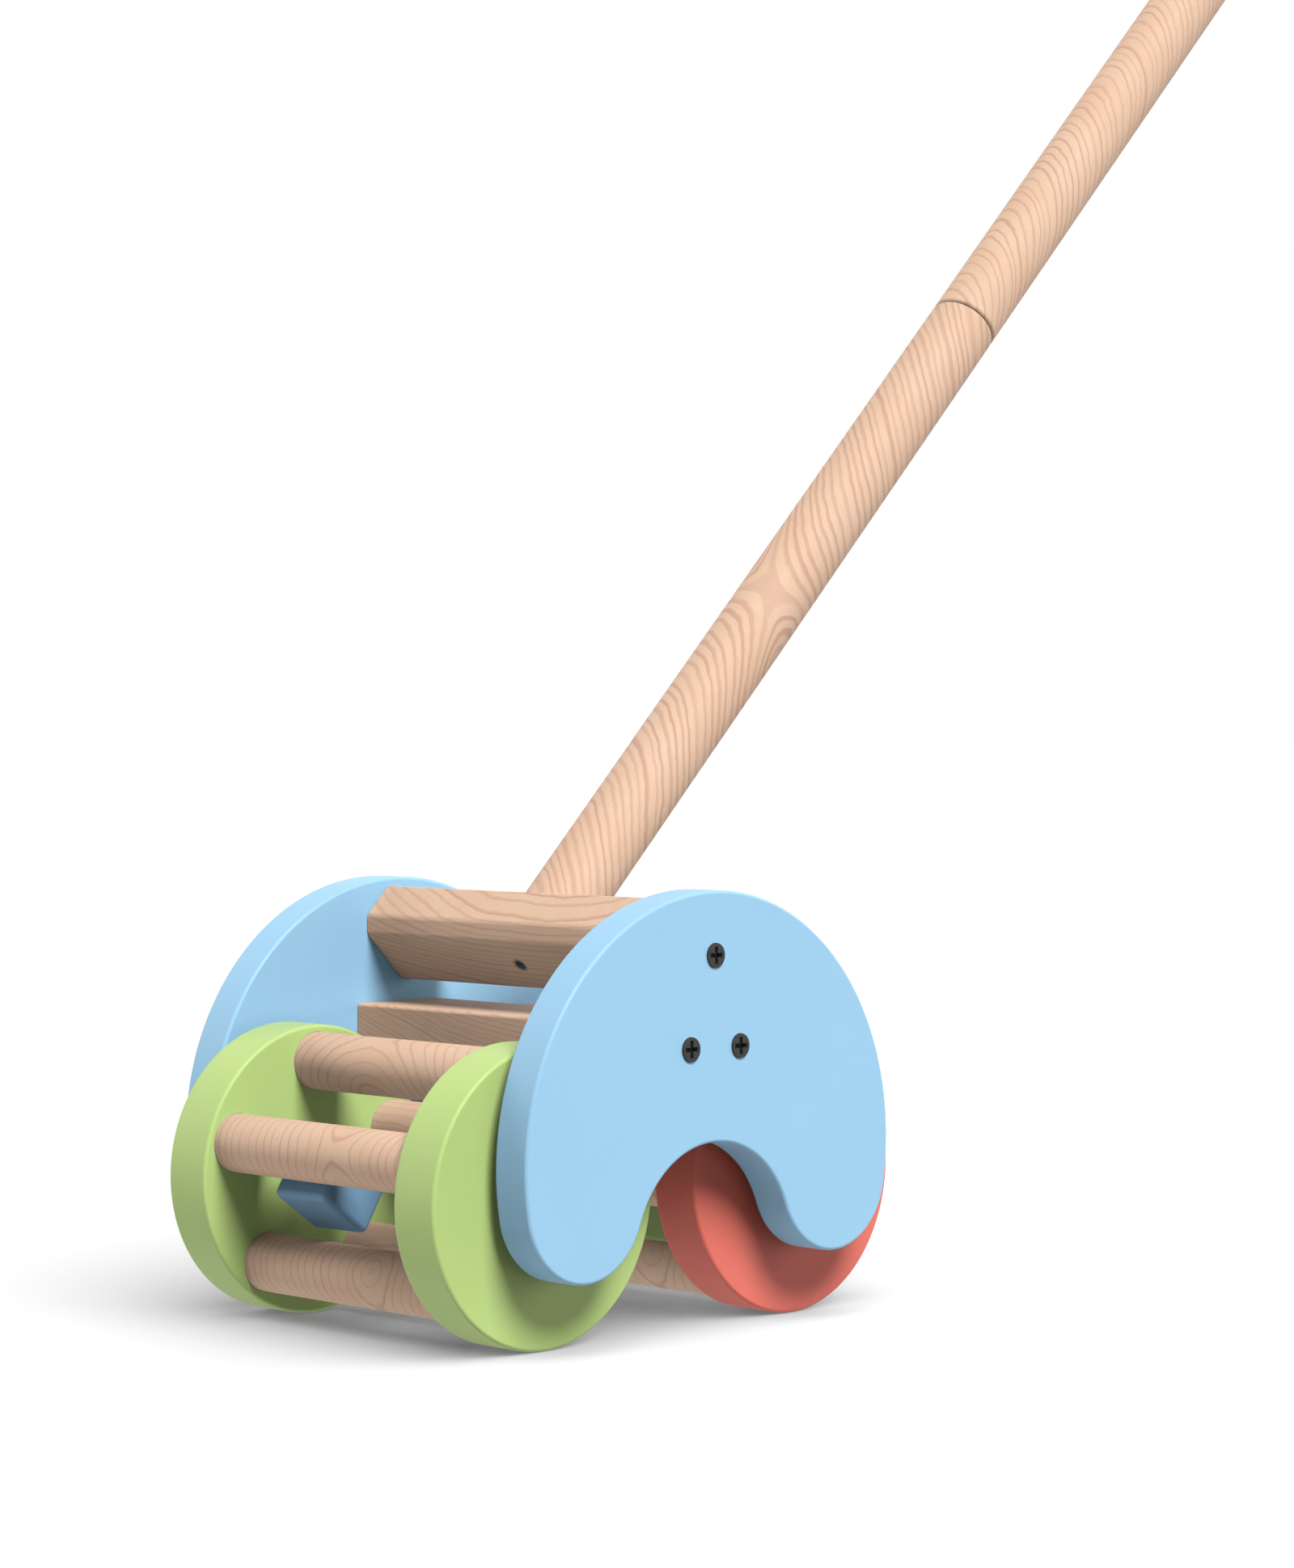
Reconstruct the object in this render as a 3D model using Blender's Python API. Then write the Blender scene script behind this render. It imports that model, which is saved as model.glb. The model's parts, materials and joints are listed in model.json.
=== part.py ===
"""Toddler push toy: two rolling drums under a pair of arched sides, pushed by a leaning handle.

Frame: +X is forward, +Y is to the left of the child who pushes, +Z is up. The origin is on
the floor, under the middle of the whole toy's box. Pieces are placed from the point on the
floor midway between the two axles, which an empty named toy_middle holds.
"""
import math

import bmesh
import bpy
from mathutils import Matrix, Vector

MM = 0.001

# Clearances and cutting allowance
TOUCH_GAP = 0.3 * MM
CUT_OVERRUN = 2.0 * MM

# Wheel discs, two to a drum
WHEEL_RADIUS = 40.0 * MM
DISC_THICKNESS = 15.5 * MM
DISC_EDGE_ROUND = 1.0 * MM
AXLE_SPACING = 96.3 * MM
CAGE_LENGTH = 77.0 * MM

# Cage dowels between the discs of a drum
DOWEL_COUNT = 5
DOWEL_RADIUS = 8.0 * MM
DOWEL_CIRCLE_RADIUS = 30.0 * MM
DOWEL_SEAT_DEPTH = 9.0 * MM
DOWEL_END_ROUND = 0.8 * MM

# Loose cube inside each cage
CUBE_EDGE = 20.0 * MM
CUBE_EDGE_ROUND = 2.0 * MM

# Rest of each loose cube: turn about the drum's axis, slight yaw, place along the axis,
# and the two dowels that its faces look at, as (dowel, quarter turn of the face, gap)
FRONT_PHASE = math.radians(90)
BACK_PHASE = math.radians(68)
FRONT_CUBE_OFFSET = -16.5 * MM
FRONT_CUBE_AIR = 3.4 * MM
BACK_CUBE_OFFSET = 18.0 * MM
FRONT_REST = {
    "tilt": math.radians(34),
    "yaw": math.radians(4.6),
    "along": FRONT_CUBE_OFFSET,
    "dowels": ((4, 0, TOUCH_GAP), (3, -1, FRONT_CUBE_AIR)),
}
BACK_REST = {
    "tilt": math.radians(-9),
    "yaw": math.radians(0),
    "along": BACK_CUBE_OFFSET,
    "dowels": ((4, 0, TOUCH_GAP), (3, -1, TOUCH_GAP)),
}

# Stub axles and the washers on them
AXLE_RADIUS = 5.0 * MM
AXLE_SEAT_IN_DISC = 11.0 * MM
AXLE_SEAT_IN_SIDE = 8.0 * MM
AXLE_END_ROUND = 0.6 * MM
WASHER_RADIUS = 9.0 * MM
WASHER_THICKNESS = 3.1 * MM

# Arched side panels
SIDE_THICKNESS = 12.0 * MM
SIDE_EDGE_ROUND = 1.0 * MM
SIDE_LEG_RADIUS = 21.2 * MM
SIDE_CROWN_OVER_AXLE = 79.5 * MM
SIDE_NOTCH_OVER_AXLE = 12.0 * MM

# Upper block, which carries the handle
BLOCK_OVER_AXLE = 62.1 * MM
BLOCK_THICKNESS = 16.0 * MM
BLOCK_WIDTH = 27.0 * MM
BLOCK_CHAMFER = 4.0 * MM

# Lower cross bar
BAR_OVER_AXLE = 37.4 * MM
BAR_THICKNESS = 12.0 * MM
BAR_WIDTH = 32.0 * MM
WOOD_EDGE_ROUND = 1.0 * MM

# Handle, in two sections with a hidden joining pin
HANDLE_LEAN = math.radians(45)
HANDLE_RADIUS = 10.7 * MM
HANDLE_LOWER_LENGTH = 258.8 * MM
HANDLE_UPPER_LENGTH = 270.0 * MM
HANDLE_JOINT_ROUND = 1.2 * MM
HANDLE_TIP_ROUND = 5.0 * MM
TENON_RADIUS = 7.5 * MM
TENON_LENGTH = 9.0 * MM
JOINER_RADIUS = 3.0 * MM
JOINER_LENGTH = 40.0 * MM
JOINER_END_ROUND = 0.5 * MM

# Countersunk screws through the sides
SCREW_HEAD_RADIUS = 3.3 * MM
SCREW_RIM = 0.4 * MM
SCREW_CONE_LENGTH = 1.9 * MM
SCREW_SHANK_RADIUS = 1.6 * MM
SCREW_LENGTH = 30.0 * MM
SCREW_POINT_LENGTH = 3.0 * MM
SCREW_PAIR_SPACING = 19.2 * MM
CROSS_REACH = 2.1 * MM
CROSS_ARM_WIDTH = 0.85 * MM
CROSS_DEPTH = 1.5 * MM
CROSS_TIP_SHARE = 0.35

# Socket bolt that draws the handle into the block
BOLT_HEAD_RADIUS = 2.4 * MM
BOLT_HEAD_LENGTH = 4.0 * MM
BOLT_SHANK_RADIUS = 1.5 * MM
BOLT_LENGTH = 34.0 * MM
BOLT_SOCKET_RADIUS = 1.95 * MM
BOLT_SOCKET_DEPTH = 2.2 * MM

# Roundness: flats round a turned piece, and steps along an outline's arcs
DISC_FLAT_COUNT = 56
HANDLE_FLAT_COUNT = 36
DOWEL_FLAT_COUNT = 24
AXLE_FLAT_COUNT = 16
SMALL_FLAT_COUNT = 16
SOCKET_FLAT_COUNT = 6
CROWN_STEPS = 44
LEG_STEPS = 24
NOTCH_STEPS = 20
ROUND_STEPS = 2
TIP_STEPS = 4
SMOOTH_ANGLE = math.radians(35)

# Places that follow from the sizes
AXLE_HEIGHT = WHEEL_RADIUS
AXLE_X = AXLE_SPACING / 2
CAGE_HALF = CAGE_LENGTH / 2
DISC_OUTER_Y = CAGE_HALF + DISC_THICKNESS
SIDE_INNER_Y = DISC_OUTER_Y + TOUCH_GAP + WASHER_THICKNESS + TOUCH_GAP
SIDE_OUTER_Y = SIDE_INNER_Y + SIDE_THICKNESS
CROSS_PIECE_HALF = SIDE_INNER_Y - TOUCH_GAP
BLOCK_HEIGHT = AXLE_HEIGHT + BLOCK_OVER_AXLE
BAR_HEIGHT = AXLE_HEIGHT + BAR_OVER_AXLE
SCREW_BITE = SCREW_LENGTH - SIDE_THICKNESS
HANDLE_JOINT = BLOCK_THICKNESS / 2 + HANDLE_LOWER_LENGTH
HANDLE_TIP = HANDLE_JOINT + HANDLE_UPPER_LENGTH
TIP_CENTRE_BACK = (HANDLE_TIP - HANDLE_TIP_ROUND) * math.sin(HANDLE_LEAN)
TIP_CORNER_BACK = (HANDLE_RADIUS - HANDLE_TIP_ROUND) * math.cos(HANDLE_LEAN) + HANDLE_TIP_ROUND
BACK_REACH = TIP_CENTRE_BACK + TIP_CORNER_BACK
FRONT_REACH = AXLE_X + WHEEL_RADIUS
MIDDLE_X = (BACK_REACH - FRONT_REACH) / 2

# Finishes: sRGB colour, roughness, metallic
FINISHES = {
    "blue_paint": ((164, 211, 241), 0.55, 0.0),
    "green_paint": ((184, 217, 128), 0.55, 0.0),
    "coral_paint": ((240, 122, 106), 0.55, 0.0),
    "cube_blue_paint": ((126, 170, 203), 0.55, 0.0),
    "cube_green_paint": ((120, 160, 84), 0.55, 0.0),
    "bare_wood": ((238, 203, 172), 0.6, 0.0),
    "black_steel": ((58, 58, 58), 0.45, 0.9),
    "grey_steel": ((120, 122, 124), 0.4, 0.9),
    "pale_plastic": ((232, 232, 226), 0.45, 0.0),
}


def linear(channel):
    """Turn one 0 to 255 sRGB channel into linear light."""
    c = channel / 255
    if c <= 0.04045:
        return c / 12.92
    return ((c + 0.055) / 1.055) ** 2.4


def make_finishes():
    """Build one Principled material for each finish."""
    made = {}
    for name, (colour, roughness, metallic) in FINISHES.items():
        material = bpy.data.materials.new(name)
        material.use_nodes = True
        shader = material.node_tree.nodes["Principled BSDF"]
        shader.inputs["Base Color"].default_value = (*[linear(c) for c in colour], 1.0)
        shader.inputs["Roughness"].default_value = roughness
        shader.inputs["Metallic"].default_value = metallic
        material.diffuse_color = shader.inputs["Base Color"].default_value
        made[name] = material
    return made


def empty(name, place, parent=None, turn=Matrix.Identity(4)):
    """Add an empty that carries pieces, such as an axis line or a leaning frame."""
    holder = bpy.data.objects.new(name, None)
    holder.parent = parent
    holder.matrix_basis = Matrix.Translation(place) @ turn
    bpy.context.scene.collection.objects.link(holder)
    return holder


def piece(name, bm, finish, parent):
    """Turn a bmesh into a smooth-shaded object in its parent's frame."""
    bmesh.ops.recalc_face_normals(bm, faces=bm.faces)
    mesh = bpy.data.meshes.new(name)
    bm.to_mesh(mesh)
    bm.free()
    mesh.shade_smooth()
    mesh.set_sharp_from_angle(angle=SMOOTH_ANGLE)
    mesh.materials.append(finish)
    obj = bpy.data.objects.new(name, mesh)
    obj.parent = parent
    bpy.context.scene.collection.objects.link(obj)
    return obj


def cut(obj, bm):
    """Cut the closed shapes in a bmesh out of an object, through a hidden wire cutter."""
    cutter = piece(obj.name + "_cutter", bm, obj.data.materials[0], obj.parent)
    cutter.hide_render = True
    cutter.display_type = "WIRE"
    modifier = obj.modifiers.new("openings", "BOOLEAN")
    modifier.operation = "DIFFERENCE"
    modifier.solver = "EXACT"
    modifier.object = cutter


def rounded_corner(radius, height, side, size, steps=ROUND_STEPS):
    """Profile points of a rounded outer corner; side is -1 for a low end and 1 for a high one."""
    points = []
    for step in range(steps + 1):
        turn = math.radians(90) * step / steps
        out = size * (1 - math.sin(turn))
        along = size * (1 - math.cos(turn))
        points.append((radius - out, height - side * along))
    return points if side < 0 else points[::-1]


def rod_profile(radius, low, high, low_round, high_round, steps=ROUND_STEPS):
    """Half profile of a plain rod with rounded ends, from its low end to its high one."""
    start = rounded_corner(radius, low, -1, low_round, steps)
    end = rounded_corner(radius, high, 1, high_round, steps)
    return [(0, low), *start, *end, (0, high)]


def add_turned(bm, profile, flats, place, tangent=False, ring=False):
    """Turn (radius, height) points round local Z; tangent keeps the flats on the true radius."""
    share = 1 / math.cos(math.pi / flats) if tangent else 1
    rings = []
    for radius, height in profile:
        if radius == 0:
            rings.append([bm.verts.new(place @ Vector((0, 0, height)))])
            continue
        verts = []
        for step in range(flats):
            angle = 2 * math.pi * (step + 0.5) / flats
            x = radius * share * math.cos(angle)
            y = radius * share * math.sin(angle)
            verts.append(bm.verts.new(place @ Vector((x, y, height))))
        rings.append(verts)
    pairs = list(zip(rings, rings[1:]))
    if ring:
        pairs.append((rings[-1], rings[0]))
    for low, high in pairs:
        for step in range(flats):
            after = (step + 1) % flats
            if len(low) == 1:
                bm.faces.new((low[0], high[step], high[after]))
            elif len(high) == 1:
                bm.faces.new((low[step], high[0], low[after]))
            else:
                bm.faces.new((low[step], high[step], high[after], low[after]))


def add_prism(bm, outline, low, high, place, low_share=1):
    """Extrude an (x, y) outline along local Z; low_share shrinks the low end about the axis."""
    bottom = [bm.verts.new(place @ Vector((x * low_share, y * low_share, low))) for x, y in outline]
    top = [bm.verts.new(place @ Vector((x, y, high))) for x, y in outline]
    bm.faces.new(bottom[::-1])
    bm.faces.new(top)
    for step in range(len(outline)):
        after = (step + 1) % len(outline)
        bm.faces.new((bottom[step], bottom[after], top[after], top[step]))


def along_y(x, y, z, side=1):
    """Frame at a point whose local Z runs along world Y, towards the given side."""
    return Matrix.Translation((x, y, z)) @ Matrix.Rotation(-side * math.pi / 2, 4, "X")


def round_edges(bm, chosen, size, steps=ROUND_STEPS):
    """Round the chosen edges of a bmesh."""
    bmesh.ops.bevel(bm, geom=chosen, offset=size, segments=steps, profile=0.5, affect="EDGES")


def arc_points(centre, radius, start, end, steps):
    """Points on an arc from one angle to another, without its last point."""
    points = []
    for step in range(steps):
        angle = start + (end - start) * step / steps
        points.append((centre[0] + radius * math.cos(angle), centre[1] + radius * math.sin(angle)))
    return points


def circle_through(top_height):
    """Height and radius of the arc with a given top that is tangent to both leg arcs.

    A crown arc holds the leg arcs inside it, so its radius is the distance to an axle plus
    the leg radius. Heights are counted from the axles.
    """
    reach = top_height - SIDE_LEG_RADIUS
    centre = (reach ** 2 - AXLE_X ** 2) / (2 * reach)
    return centre, top_height - centre


def notch_circle():
    """Height and radius of the notch arc, which touches both leg arcs from outside."""
    reach = SIDE_NOTCH_OVER_AXLE + SIDE_LEG_RADIUS
    centre = (reach ** 2 - AXLE_X ** 2) / (2 * reach)
    return centre, SIDE_NOTCH_OVER_AXLE - centre


def side_outline():
    """Outline of an arched side in (x, height over the axles), all of it tangent arcs."""
    crown_height, crown_radius = circle_through(SIDE_CROWN_OVER_AXLE)
    notch_height, notch_radius = notch_circle()
    crown_end = math.atan2(-crown_height, AXLE_X)
    notch_end = math.atan2(-notch_height, AXLE_X)
    turn = 2 * math.pi
    half = math.pi
    crown = arc_points((0, crown_height), crown_radius, crown_end, half - crown_end, CROWN_STEPS)
    back_leg = arc_points((-AXLE_X, 0), SIDE_LEG_RADIUS, half - crown_end, turn - notch_end, LEG_STEPS)
    notch = arc_points((0, notch_height), notch_radius, half - notch_end, notch_end, NOTCH_STEPS)
    front_leg = arc_points((AXLE_X, 0), SIDE_LEG_RADIUS, half + notch_end, turn + crown_end, LEG_STEPS)
    return crown + back_leg + notch + front_leg


def screw_places():
    """The (x, z) of the three screws in each side: one in the block and two in the bar."""
    half = SCREW_PAIR_SPACING / 2
    return {"upper": (0, BLOCK_HEIGHT), "front": (half, BAR_HEIGHT), "back": (-half, BAR_HEIGHT)}


def screw_profile(gap=0, over=0, length=SCREW_LENGTH):
    """Half profile of a countersunk screw, head at height 0; gap and over make its hole."""
    head = SCREW_HEAD_RADIUS + gap
    shank = SCREW_SHANK_RADIUS + gap
    cone_end = -SCREW_RIM - SCREW_CONE_LENGTH
    point = SCREW_POINT_LENGTH if gap == 0 else 0
    end = [(0, -length)] if point else [(0, -length), (shank, -length)]
    return [*end, (shank, point - length), (shank, cone_end), (head, -SCREW_RIM), (head, over), (0, over)]


def without_repeats(points):
    """Drop a point that equals the one before it."""
    return [p for i, p in enumerate(points) if i == 0 or p != points[i - 1]]


def side_panel(name, side, middle, finish):
    """One arched side, with countersunk screw holes and two blind axle seats."""
    bm = bmesh.new()
    outline = [(x, height + AXLE_HEIGHT) for x, height in side_outline()]
    outer = [bm.verts.new((x, side * SIDE_OUTER_Y, z)) for x, z in outline]
    inner = [bm.verts.new((x, side * SIDE_INNER_Y, z)) for x, z in outline]
    outer_face = bm.faces.new(outer)
    inner_face = bm.faces.new(inner)
    for step in range(len(outline)):
        after = (step + 1) % len(outline)
        bm.faces.new((outer[step], outer[after], inner[after], inner[step]))
    bmesh.ops.recalc_face_normals(bm, faces=bm.faces)
    round_edges(bm, [*outer_face.edges, *inner_face.edges], SIDE_EDGE_ROUND)
    panel = piece(name, bm, finish, middle)

    holes = bmesh.new()
    for x, z in screw_places().values():
        length = SIDE_THICKNESS + CUT_OVERRUN
        profile = without_repeats(screw_profile(TOUCH_GAP, CUT_OVERRUN, length))
        add_turned(holes, profile, SMALL_FLAT_COUNT, along_y(x, side * SIDE_OUTER_Y, z, side), True)
    for x in (AXLE_X, -AXLE_X):
        radius = AXLE_RADIUS + TOUCH_GAP
        low, high = -CUT_OVERRUN, AXLE_SEAT_IN_SIDE
        profile = [(0, low), (radius, low), (radius, high), (0, high)]
        add_turned(holes, profile, AXLE_FLAT_COUNT, along_y(x, side * SIDE_INNER_Y, AXLE_HEIGHT, side), True)
    cut(panel, holes)
    return panel


def side_screw(name, x, z, side, middle, finish):
    """A countersunk cross-head screw, flush with the outer face of its side."""
    bm = bmesh.new()
    place = along_y(x, side * SIDE_OUTER_Y, z, side)
    add_turned(bm, without_repeats(screw_profile()), SMALL_FLAT_COUNT, place)
    screw = piece(name, bm, finish, middle)

    recess = bmesh.new()
    reach, half = CROSS_REACH, CROSS_ARM_WIDTH / 2
    corner = [(reach, -half), (reach, half), (half, half)]
    outline = []
    for quarter in range(4):
        spin = Matrix.Rotation(quarter * math.pi / 2, 2)
        outline += [tuple(spin @ Vector(point)) for point in corner]
    add_prism(recess, outline, -CROSS_DEPTH, CUT_OVERRUN, place, CROSS_TIP_SHARE)
    cut(screw, recess)
    return screw


def add_screw_seats(holes, places, into=Matrix.Identity(4)):
    """Add the blind pilot holes at both ends of a cross piece, in the frame that into gives."""
    radius = SCREW_SHANK_RADIUS + TOUCH_GAP
    depth = SCREW_BITE + TOUCH_GAP
    for side in (1, -1):
        for x, z in places:
            place = into @ along_y(x, side * CROSS_PIECE_HALF, z, side)
            profile = [(0, -depth), (radius, -depth), (radius, CUT_OVERRUN), (0, CUT_OVERRUN)]
            add_turned(holes, profile, SMALL_FLAT_COUNT, place, True)


def cross_bar(middle, finish):
    """The flat lower bar between the sides."""
    bm = bmesh.new()
    wide, thick = BAR_WIDTH / 2, BAR_THICKNESS / 2
    outline = [(-wide, -thick), (wide, -thick), (wide, thick), (-wide, thick)]
    add_prism(bm, outline, -CROSS_PIECE_HALF, CROSS_PIECE_HALF, along_y(0, 0, BAR_HEIGHT))
    bmesh.ops.recalc_face_normals(bm, faces=bm.faces)
    long_edges = [e for e in bm.edges if abs((e.verts[0].co - e.verts[1].co).y) > CROSS_PIECE_HALF]
    round_edges(bm, long_edges, WOOD_EDGE_ROUND)
    bar = piece("cross_bar", bm, finish, middle)

    holes = bmesh.new()
    places = screw_places()
    add_screw_seats(holes, [places["front"], places["back"]])
    cut(bar, holes)
    return bar


def handle_block(lean, finish):
    """The upper block, turned square to the handle, chamfered along its lower front face."""
    bm = bmesh.new()
    wide, thick = BLOCK_WIDTH / 2, BLOCK_THICKNESS / 2
    outline = [
        (-wide, thick),
        (wide, thick),
        (wide, BLOCK_CHAMFER - thick),
        (wide - BLOCK_CHAMFER, -thick),
        (BLOCK_CHAMFER - wide, -thick),
        (-wide, BLOCK_CHAMFER - thick),
    ]
    sideways = Matrix.Rotation(math.pi / 2, 4, "X")
    add_prism(bm, outline, -CROSS_PIECE_HALF, CROSS_PIECE_HALF, sideways)
    bmesh.ops.recalc_face_normals(bm, faces=bm.faces)
    long_edges = [e for e in bm.edges if abs((e.verts[0].co - e.verts[1].co).y) > CROSS_PIECE_HALF]
    round_edges(bm, long_edges, WOOD_EDGE_ROUND)
    block = piece("handle_block", bm, finish, lean)

    holes = bmesh.new()
    add_screw_seats(holes, [screw_places()["upper"]], lean.matrix_basis.inverted())
    tenon = TENON_RADIUS + TOUCH_GAP
    floor = thick - TENON_LENGTH - TOUCH_GAP
    profile = [(0, floor), (tenon, floor), (tenon, thick + CUT_OVERRUN), (0, thick + CUT_OVERRUN)]
    add_turned(holes, profile, DOWEL_FLAT_COUNT, Matrix.Identity(4), True)
    head, shank = BOLT_HEAD_RADIUS + TOUCH_GAP, BOLT_SHANK_RADIUS + TOUCH_GAP
    ledge = BOLT_HEAD_LENGTH + TOUCH_GAP - thick
    low, high = -thick - CUT_OVERRUN, floor + CUT_OVERRUN
    profile = [(0, low), (head, low), (head, ledge), (shank, ledge), (shank, high), (0, high)]
    bolt_way = bmesh.new()
    add_turned(bolt_way, profile, SMALL_FLAT_COUNT, Matrix.Identity(4), True)
    cut(block, holes)
    cut(block, bolt_way)
    return block


def handle_section(name, profile, lean, finish, bores):
    """A turned handle section with blind bores, each given as radius, low and high."""
    bm = bmesh.new()
    add_turned(bm, profile, HANDLE_FLAT_COUNT, Matrix.Identity(4))
    section = piece(name, bm, finish, lean)
    holes = bmesh.new()
    for radius, low, high in bores:
        outline = [(0, low), (radius, low), (radius, high), (0, high)]
        add_turned(holes, outline, SMALL_FLAT_COUNT, Matrix.Identity(4), True)
    cut(section, holes)
    return section


def handle(lean, wood, steel):
    """The two handle sections, the pin that joins them and the bolt that holds them."""
    block_top = BLOCK_THICKNESS / 2
    shoulder = block_top + TOUCH_GAP
    joint = HANDLE_JOINT
    lower_end = joint - TOUCH_GAP / 2
    upper_start = joint + TOUCH_GAP / 2
    pin_half = JOINER_LENGTH / 2
    pin_bore = JOINER_RADIUS + TOUCH_GAP
    pin_depth = pin_half + TOUCH_GAP
    bolt_start = -BLOCK_THICKNESS / 2
    bolt_end = bolt_start + BOLT_LENGTH
    tenon_end = block_top - TENON_LENGTH

    end_round = rounded_corner(HANDLE_RADIUS, lower_end, 1, HANDLE_JOINT_ROUND)
    lower = [
        (0, tenon_end),
        (TENON_RADIUS, tenon_end),
        (TENON_RADIUS, shoulder),
        (HANDLE_RADIUS, shoulder),
        *end_round,
        (0, lower_end),
    ]
    bolt_bore = (BOLT_SHANK_RADIUS + TOUCH_GAP, tenon_end - CUT_OVERRUN, bolt_end + TOUCH_GAP)
    lower_bore = (pin_bore, joint - pin_depth, lower_end + CUT_OVERRUN)
    handle_section("handle_lower", lower, lean, wood, [bolt_bore, lower_bore])

    start_round = rounded_corner(HANDLE_RADIUS, upper_start, -1, HANDLE_JOINT_ROUND)
    tip_round = rounded_corner(HANDLE_RADIUS, HANDLE_TIP, 1, HANDLE_TIP_ROUND, TIP_STEPS)
    upper = [(0, upper_start), *start_round, *tip_round, (0, HANDLE_TIP)]
    upper_bore = (pin_bore, upper_start - CUT_OVERRUN, joint + pin_depth)
    handle_section("handle_upper", upper, lean, wood, [upper_bore])

    bm = bmesh.new()
    low, high = joint - pin_half, joint + pin_half
    profile = rod_profile(JOINER_RADIUS, low, high, JOINER_END_ROUND, JOINER_END_ROUND, 1)
    add_turned(bm, profile, SMALL_FLAT_COUNT, Matrix.Identity(4))
    piece("handle_joiner", bm, steel, lean)

    bm = bmesh.new()
    ledge = bolt_start + BOLT_HEAD_LENGTH
    profile = [
        (0, bolt_start),
        (BOLT_HEAD_RADIUS, bolt_start),
        (BOLT_HEAD_RADIUS, ledge),
        (BOLT_SHANK_RADIUS, ledge),
        (BOLT_SHANK_RADIUS, bolt_end),
        (0, bolt_end),
    ]
    add_turned(bm, profile, SMALL_FLAT_COUNT, Matrix.Identity(4))
    bolt = piece("handle_bolt", bm, steel, lean)
    socket = bmesh.new()
    low, high = bolt_start - CUT_OVERRUN, bolt_start + BOLT_SOCKET_DEPTH
    profile = [(0, low), (BOLT_SOCKET_RADIUS, low), (BOLT_SOCKET_RADIUS, high), (0, high)]
    add_turned(socket, profile, SOCKET_FLAT_COUNT, Matrix.Identity(4))
    cut(bolt, socket)


def dowel_places(phase):
    """The (x, z) of a cage's dowels round its axle."""
    places = []
    for index in range(DOWEL_COUNT):
        angle = phase + 2 * math.pi * index / DOWEL_COUNT
        places.append((DOWEL_CIRCLE_RADIUS * math.cos(angle), DOWEL_CIRCLE_RADIUS * math.sin(angle)))
    return places


def drum_disc(name, axis, side, phase, finish):
    """A wheel disc with blind seats for the dowels inside and for the stub axle outside."""
    bm = bmesh.new()
    profile = rod_profile(WHEEL_RADIUS, CAGE_HALF, DISC_OUTER_Y, DISC_EDGE_ROUND, DISC_EDGE_ROUND)
    add_turned(bm, profile, DISC_FLAT_COUNT, along_y(0, 0, 0, side), True)
    disc = piece(name, bm, finish, axis)

    holes = bmesh.new()
    low, high = CAGE_HALF - CUT_OVERRUN, CAGE_HALF + DOWEL_SEAT_DEPTH
    radius = DOWEL_RADIUS + TOUCH_GAP
    profile = [(0, low), (radius, low), (radius, high), (0, high)]
    for x, z in dowel_places(phase):
        add_turned(holes, profile, DOWEL_FLAT_COUNT, along_y(x, 0, z, side), True)
    low, high = DISC_OUTER_Y - AXLE_SEAT_IN_DISC, DISC_OUTER_Y + CUT_OVERRUN
    radius = AXLE_RADIUS + TOUCH_GAP
    profile = [(0, low), (radius, low), (radius, high), (0, high)]
    add_turned(holes, profile, AXLE_FLAT_COUNT, along_y(0, 0, 0, side), True)
    cut(disc, holes)
    return disc


def cube_reach(phase, index, facing, gap, half):
    """How far a cube's centre lies towards a dowel, along the face that looks at that dowel."""
    angle = phase + 2 * math.pi * index / DOWEL_COUNT
    return DOWEL_CIRCLE_RADIUS * math.cos(angle - facing) - DOWEL_RADIUS - gap - half


def loose_cube(name, axis, phase, rest, finish):
    """A cube that lies in a cage against two dowels, each met by its own face."""
    half = CUBE_EDGE / 2
    turned_half = half * (math.cos(rest["yaw"]) + math.sin(rest["yaw"]))
    x = z = 0
    for index, quarter, gap in rest["dowels"]:
        facing = rest["tilt"] + quarter * math.pi / 2
        reach = cube_reach(phase, index, facing, gap, turned_half)
        x += reach * math.cos(facing)
        z += reach * math.sin(facing)
    bm = bmesh.new()
    bmesh.ops.create_cube(bm, size=CUBE_EDGE)
    round_edges(bm, bm.edges[:], CUBE_EDGE_ROUND)
    cube = piece(name, bm, finish, axis)
    cube.location = (x, rest["along"], z)
    cube.rotation_euler = (0, -rest["tilt"], rest["yaw"])
    return cube


def drum(prefix, x, phase, rest, paints, middle, finishes):
    """A rolling drum: two discs, the dowels of its cage, a loose cube, and its axles."""
    paint, cube_paint = paints
    axis = empty(prefix + "_drum_axis", (x, 0, AXLE_HEIGHT), middle)
    for word, side in (("left", 1), ("right", -1)):
        drum_disc(f"{prefix}_disc_{word}", axis, side, phase, finishes[paint])
        stub_axle(f"{prefix}_axle_{word}", x, side, middle, finishes["bare_wood"])
        washer(f"{prefix}_washer_{word}", x, side, middle, finishes["pale_plastic"])
    reach = CAGE_HALF + DOWEL_SEAT_DEPTH - TOUCH_GAP
    profile = rod_profile(DOWEL_RADIUS, -reach, reach, DOWEL_END_ROUND, DOWEL_END_ROUND, 1)
    for number, (across, up) in enumerate(dowel_places(phase), 1):
        bm = bmesh.new()
        add_turned(bm, profile, DOWEL_FLAT_COUNT, along_y(across, 0, up))
        piece(f"{prefix}_dowel_{number}", bm, finishes["bare_wood"], axis)
    loose_cube(prefix + "_cube", axis, phase, rest, finishes[cube_paint])


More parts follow.
